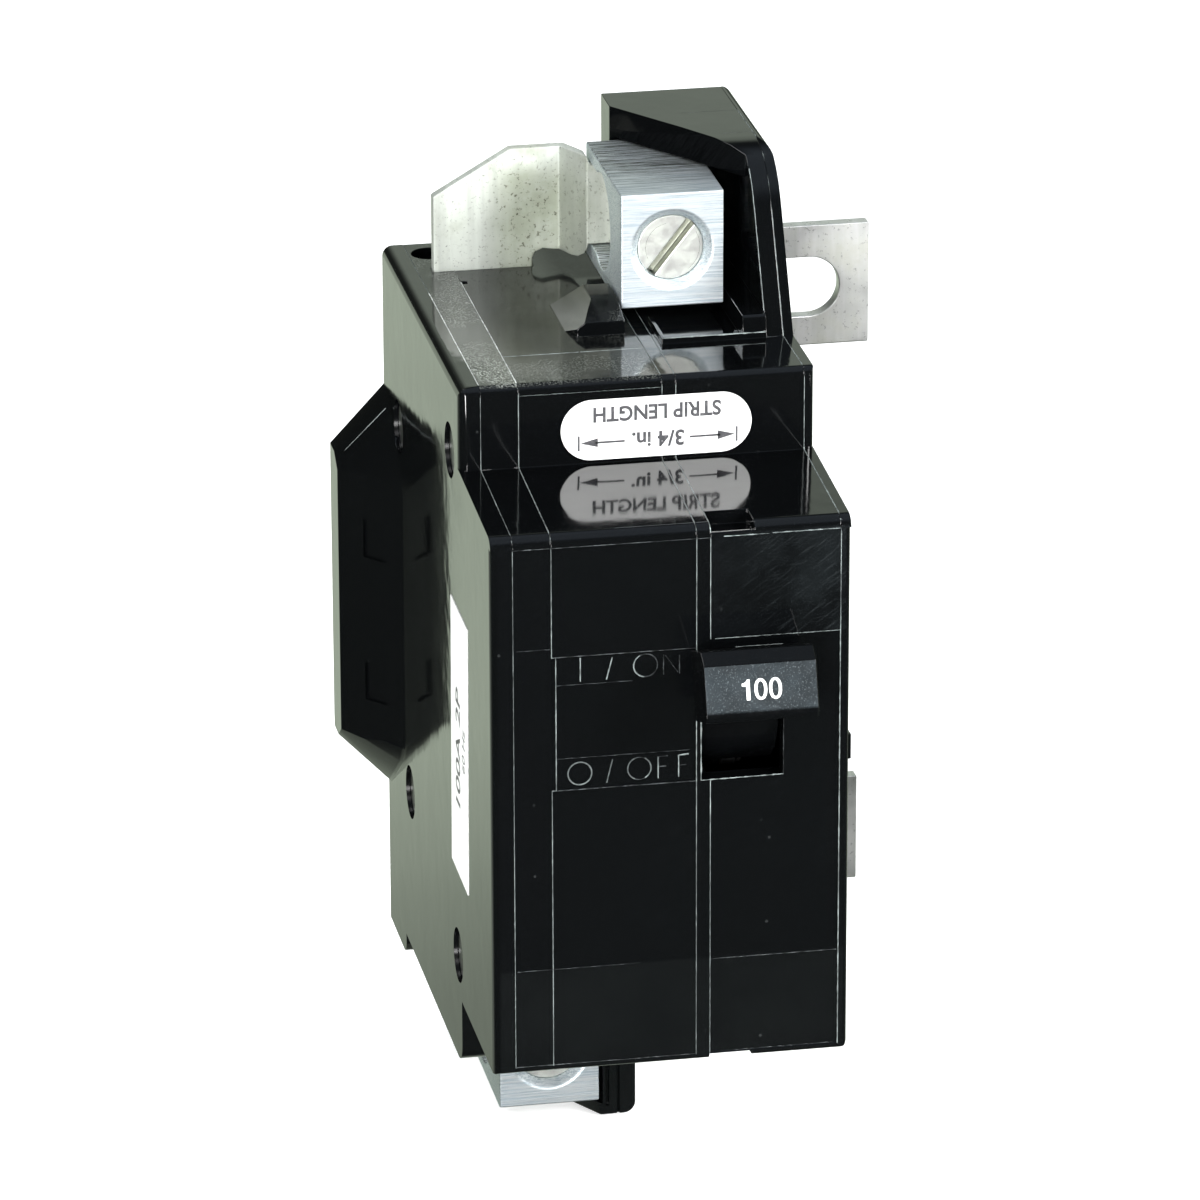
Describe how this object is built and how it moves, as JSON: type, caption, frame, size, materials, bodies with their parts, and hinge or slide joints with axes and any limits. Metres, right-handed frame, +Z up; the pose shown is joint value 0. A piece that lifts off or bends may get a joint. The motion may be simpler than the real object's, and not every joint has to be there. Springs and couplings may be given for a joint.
{
  "type": "circuit breaker",
  "caption": "Two-pole main circuit breaker in a black moulded case with a toggle handle, two wire lugs, two slotted bus tabs and a side mounting foot.",
  "frame": {"origin": "centre of the flat back face of the case, the face that lies on the panel", "axes": "+X right, +Y out of the back into the panel, +Z up along the case; the handle faces -Y"},
  "size_m": [0.065, 0.0865, 0.1242],
  "materials": {
    "case_black": "polished black thermoset, whitish wear on the seams",
    "handle_black": "fine-textured black thermoset with a white rating numeral",
    "rivet_steel": "plain steel, dull",
    "lug_aluminium": "extruded and sawn, tin plated",
    "screw_aluminium": "turned, tin plated",
    "tinned_copper": "matt tin plate over copper",
    "copper": "bare copper",
    "contact_silver": "silver alloy contact facing",
    "bar_brown": "brown moulded insulation",
    "plain_steel": "zinc plated steel",
    "spring_steel": "bright spring wire",
    "bimetal": "rolled bimetal strip",
    "fibre_red": "vulcanised fibre",
    "label_white": "white printed film"
  },
  "bodies": {
    "case": {"left_cover": "case_black", "left_case": "case_black", "front_cover": "case_black", "rear_block": "case_black", "centre_divider": "case_black", "right_case": "case_black", "right_cover": "case_black", "case_rivets": "rivet_steel", "handle_pin": "plain_steel", "handle_spring": "spring_steel", "upper_lug": "lug_aluminium", "upper_strap": "tinned_copper", "lower_lug": "lug_aluminium", "lower_strap": "tinned_copper", "upper_bus_tab": "tinned_copper", "lower_bus_tab": "tinned_copper", "fixed_contact_left": "contact_silver", "fixed_contact_right": "contact_silver", "latch_lever_pin": "plain_steel", "trip_bar_spring": "spring_steel", "magnet_yoke_left": "plain_steel", "magnet_yoke_right": "plain_steel", "bimetal_left": "bimetal", "bimetal_right": "bimetal", "calibration_screws": "plain_steel", "braid_left": "copper", "braid_right": "copper", "arc_chute_left": "fibre_red", "arc_chute_right": "fibre_red", "arc_plates_left": "plain_steel", "arc_plates_right": "plain_steel", "gauge_label": "label_white", "side_label": "label_white"},
    "handle": {"handle": "handle_black", "handle_crank_pin": "plain_steel"},
    "link": {"drive_link": "plain_steel"},
    "contacts": {"crossbar": "bar_brown", "contact_arm_left": "copper", "contact_arm_right": "copper", "moving_contact_left": "contact_silver", "moving_contact_right": "contact_silver", "contact_spring_left": "spring_steel", "contact_spring_right": "spring_steel", "crossbar_crank_pin": "plain_steel"},
    "trip": {"trip_bar": "bar_brown", "armature_left": "plain_steel", "armature_right": "plain_steel"},
    "latch": {"latch_lever": "plain_steel"},
    "upper_screw": {"upper_lug_screw": "screw_aluminium"},
    "lower_screw": {"lower_lug_screw": "screw_aluminium"}
  },
  "joints": [
    {"name": "handle_toggle", "type": "hinge", "parent": "case", "child": "handle", "pos_m": [0.0085, -0.066, 0.0102], "axis": [1, 0, 0], "range_deg": [0, 36]},
    {"name": "contacts_open", "type": "hinge", "parent": "case", "child": "contacts", "pos_m": [0, -0.0266, -0.0039], "axis": [1, 0, 0], "range_deg": [0, 36]},
    {"name": "link_swing", "type": "hinge", "parent": "handle", "child": "link", "pos_m": [0.0084, -0.06739, 0.00232], "axis": [1, 0, 0], "range_deg": [-36, 0]},
    {"name": "trip_turn", "type": "hinge", "parent": "case", "child": "trip", "pos_m": [0, -0.0326, -0.0199], "axis": [-1, 0, 0], "range_deg": [0, 8], "stiffness_Nm_per_rad": 0.02, "springref_deg": -8.59},
    {"name": "latch_lift", "type": "hinge", "parent": "case", "child": "latch", "pos_m": [0.0169, -0.0646, -0.0179], "axis": [1, 0, 0], "range_deg": [0, 6], "stiffness_Nm_per_rad": 0.02, "springref_deg": -5.73},
    {"name": "upper_screw_in", "type": "slide", "parent": "case", "child": "upper_screw", "axis": [0, 1, 0], "range_m": [0, 0.0035]},
    {"name": "lower_screw_in", "type": "slide", "parent": "case", "child": "lower_screw", "axis": [0, 1, 0], "range_m": [0, 0.0035]}
  ],
  "couplings": [
    {"joint": "contacts_open", "follows": "handle_toggle", "ratio": 1},
    {"joint": "link_swing", "follows": "handle_toggle", "ratio": -1}
  ]
}
